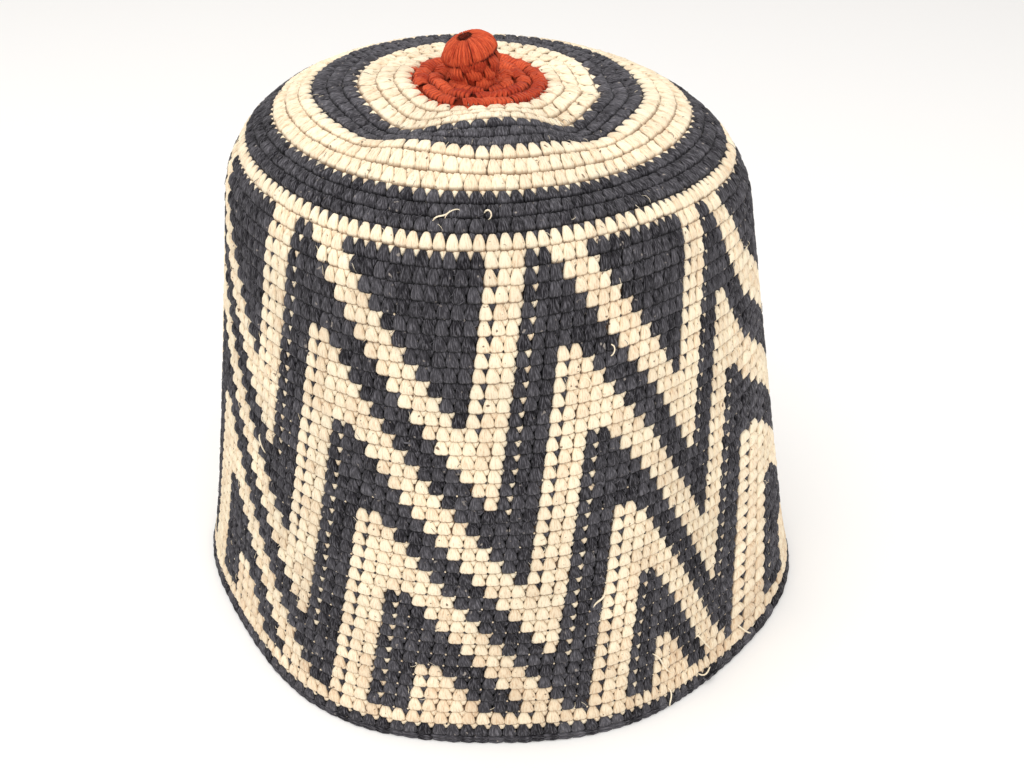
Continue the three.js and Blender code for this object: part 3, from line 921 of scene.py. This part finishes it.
def lay_knob():
    """The ball is wrapped: each strand runs from the bottom of the pit over its rim and down the
    ball's side (an ellipse in section) to its underside, the strands side by side round the
    ball's axis, which leans to the left. Below it two rounds of fat loops make the neck, and a
    plain core fills them."""
    foot = knob_foot()
    half = KNOB_HEIGHT / 2
    neck_angle = -math.acos(NECK_RADIUS / KNOB_RADIUS)
    middle = NECK_HEIGHT - half * math.sin(neck_angle)
    side = np.radians(np.linspace(-8, 75, 11))
    radius = KNOB_RADIUS * np.cos(side) - KNOB_STRAND_DEPTH
    height = (half - KNOB_STRAND_DEPTH) * np.sin(side)
    inward = np.linspace(.34, 1, 3)
    height = np.concatenate([height, height[-1] - KNOB_DIMPLE * 2.1 * inward ** 2])
    radius = np.concatenate([radius, radius[-1] * (1 - inward) + .2 * inward])
    width = np.clip(math.pi * (radius + .3) / KNOB_STRANDS * 1.15, .05, 1)
    path = np.stack([0 * radius, height, radius], 1)
    form = strand_form(path[::-1], width[::-1], np.clip(width[::-1] * 1.15, .12, .55), oval(5))
    chance, tone, shift = chances(KNOB_STRANDS, 5)
    angle = 2 * math.pi * (np.arange(KNOB_STRANDS) + .2 * chance[:, 0]) / KNOB_STRANDS
    points = form[0][None]
    slant = .02 * points[..., 1] + angle[:, None]
    across, out = points[..., 0], points[..., 2] + .16 * chance[:, 1:2]
    ball = np.stack([out * np.cos(slant) - across * np.sin(slant),
                     out * np.sin(slant) + across * np.cos(slant),
                     points[..., 1] + 0 * slant], -1)
    tilt = np.array(Matrix.Rotation(-KNOB_TILT, 3, "Y") @ Matrix.Rotation(KNOB_TIP, 3, "X"))
    ball = ball @ tilt.T + foot + (KNOB_LEAN * middle, 0, middle)
    parts = [copies(form, ball, tone, shift)]
    tiers = ((6.4, 7.0, 10, 2.7, .2), (3.6, 6.6, 9, 2.5, .8), (.8, 5.7, 8, 2.4, .4))
    for tier, (level, ring, count, reach, turned) in enumerate(tiers):
        loop = bundle(5, .50, .80, [(0, reach, -1.6), (.1, reach * .6, .25), (.15, 0, .80),
                                    (.1, -reach * .6, .35), (0, -reach, -1.3)],
                      (.32, .46, .52, .50, .36), (.36, .56, .62, .58, .36), .70)
        chance, tone, shift = chances(count, 21 + tier)
        angle = 2 * math.pi * (np.arange(count) + turned + .18 * chance[:, 0]) / count
        points = loop[0][None]
        around = angle[:, None] + (points[..., 0] * (1 + .12 * chance[:, 3:4])
                                   + .28 * points[..., 1] * chance[:, 2:3]) / ring
        out = ring - .7 + points[..., 2] + .45 * chance[:, 1:2]
        up = level + points[..., 1] + .45 * chance[:, 4:5]
        lobes = np.stack([out * np.cos(around) + KNOB_LEAN * up, out * np.sin(around), up], -1)
        parts.append(copies(loop, lobes + foot, tone * 1.1 - .12, shift))
    core = strand_form([(0, -1.6, 0), (0, 0, 0), (0, 3, 0), (0, 7, 0), (0, 9.5, 0)],
                       (5.0, 5.3, 5.9, 6.4, 5.2), (5.0, 5.3, 5.9, 6.4, 5.2), oval(20))
    across, up, out = core[0].T
    filled = np.stack([across + KNOB_LEAN * up, -out, up], -1) + foot
    parts.append(copies(core, filled[None], np.array([-.2]), np.zeros((1, 2))))
    lay_yarn("knob_wrap", parts, coral_yarn, "knob")


lay_stitches()
lay_rosette()
lay_hem_round()
lay_knob()
lay_fibres()
lay_loose_ends()
fabric_shell("wall_fabric", 1, WALL_ROUNDS, WALL_STITCHES, CROWN_REACH + PIECE_GAP / 2,
             EDGING_REACH - PIECE_GAP / 2, "side_wall", chart_colour)
fabric_shell("crown_fabric", -11, 0, 96, ROSETTE_RADIUS + PIECE_GAP / 2,
             CROWN_REACH - PIECE_GAP / 2, "crown",
             lambda number, turn: crown_colour(np.clip(np.round(number - .01), -11, 0)))
rosette_fabric()
hem_fabric()


def plain_floor():
    """A wide pale plane under the hem."""
    size = 6.0
    mesh = bpy.data.meshes.new("floor")
    mesh.from_pydata([(-size, -size, 0), (size, -size, 0), (size, size, 0), (-size, size, 0)], [],
                     [(0, 1, 2, 3)])
    floor = bpy.data.objects.new("floor", mesh)
    bpy.context.scene.collection.objects.link(floor)
    material = bpy.data.materials.new("pale_floor")
    material.use_nodes = True
    shader = material.node_tree.nodes["Principled BSDF"]
    shader.inputs["Base Color"].default_value = (.97, .96, .95, 1)
    shader.inputs["Roughness"].default_value = .8
    mesh.materials.append(material)


def soft_lamp(name, place, towards, size, power, colour):
    """A square soft light at a place, facing a point."""
    lamp = bpy.data.lights.new(name, "AREA")
    lamp.size = size
    lamp.energy = power
    lamp.color = colour
    made = bpy.data.objects.new(name, lamp)
    bpy.context.scene.collection.objects.link(made)
    made.location = place
    made.rotation_euler = (Vector(towards) - Vector(place)).to_track_quat("-Z", "Y").to_euler()


def studio():
    """Even pale light from all round, with a large soft lamp above and one from the front left."""
    world = bpy.data.worlds.new("studio")
    world.use_nodes = True
    world.node_tree.nodes["Background"].inputs["Color"].default_value = (1, .99, .975, 1)
    world.node_tree.nodes["Background"].inputs["Strength"].default_value = .72
    bpy.context.scene.world = world
    soft_lamp("top_lamp", (-.25, -.25, 1.1), (0, 0, .1), 1.1, 7.6, (1, .985, .96))
    soft_lamp("front_lamp", (.35, -1.0, .75), (0, 0, .08), .7, 3.6, (1, .99, .97))
    view = bpy.context.scene.view_settings
    view.view_transform = "Standard"
    view.look = "None"
    view.exposure = 0.0
    view.gamma = 1.0


def camera():
    """A near camera in front of and above the hat, as the photograph was taken."""
    lens = bpy.data.cameras.new("camera")
    lens.sensor_fit = "HORIZONTAL"
    lens.sensor_width = 36
    lens.lens = 41.69
    lens.clip_start = .01
    lens.clip_end = 50
    made = bpy.data.objects.new("camera", lens)
    bpy.context.scene.collection.objects.link(made)
    made.matrix_world = (Matrix.Translation((.003206, -.32180, .28879))
                         @ Matrix.Rotation(math.pi / 2 - .5946, 4, "X")
                         @ Matrix.Rotation(.0159, 4, "Z"))
    bpy.context.scene.camera = made


plain_floor()
studio()
camera()
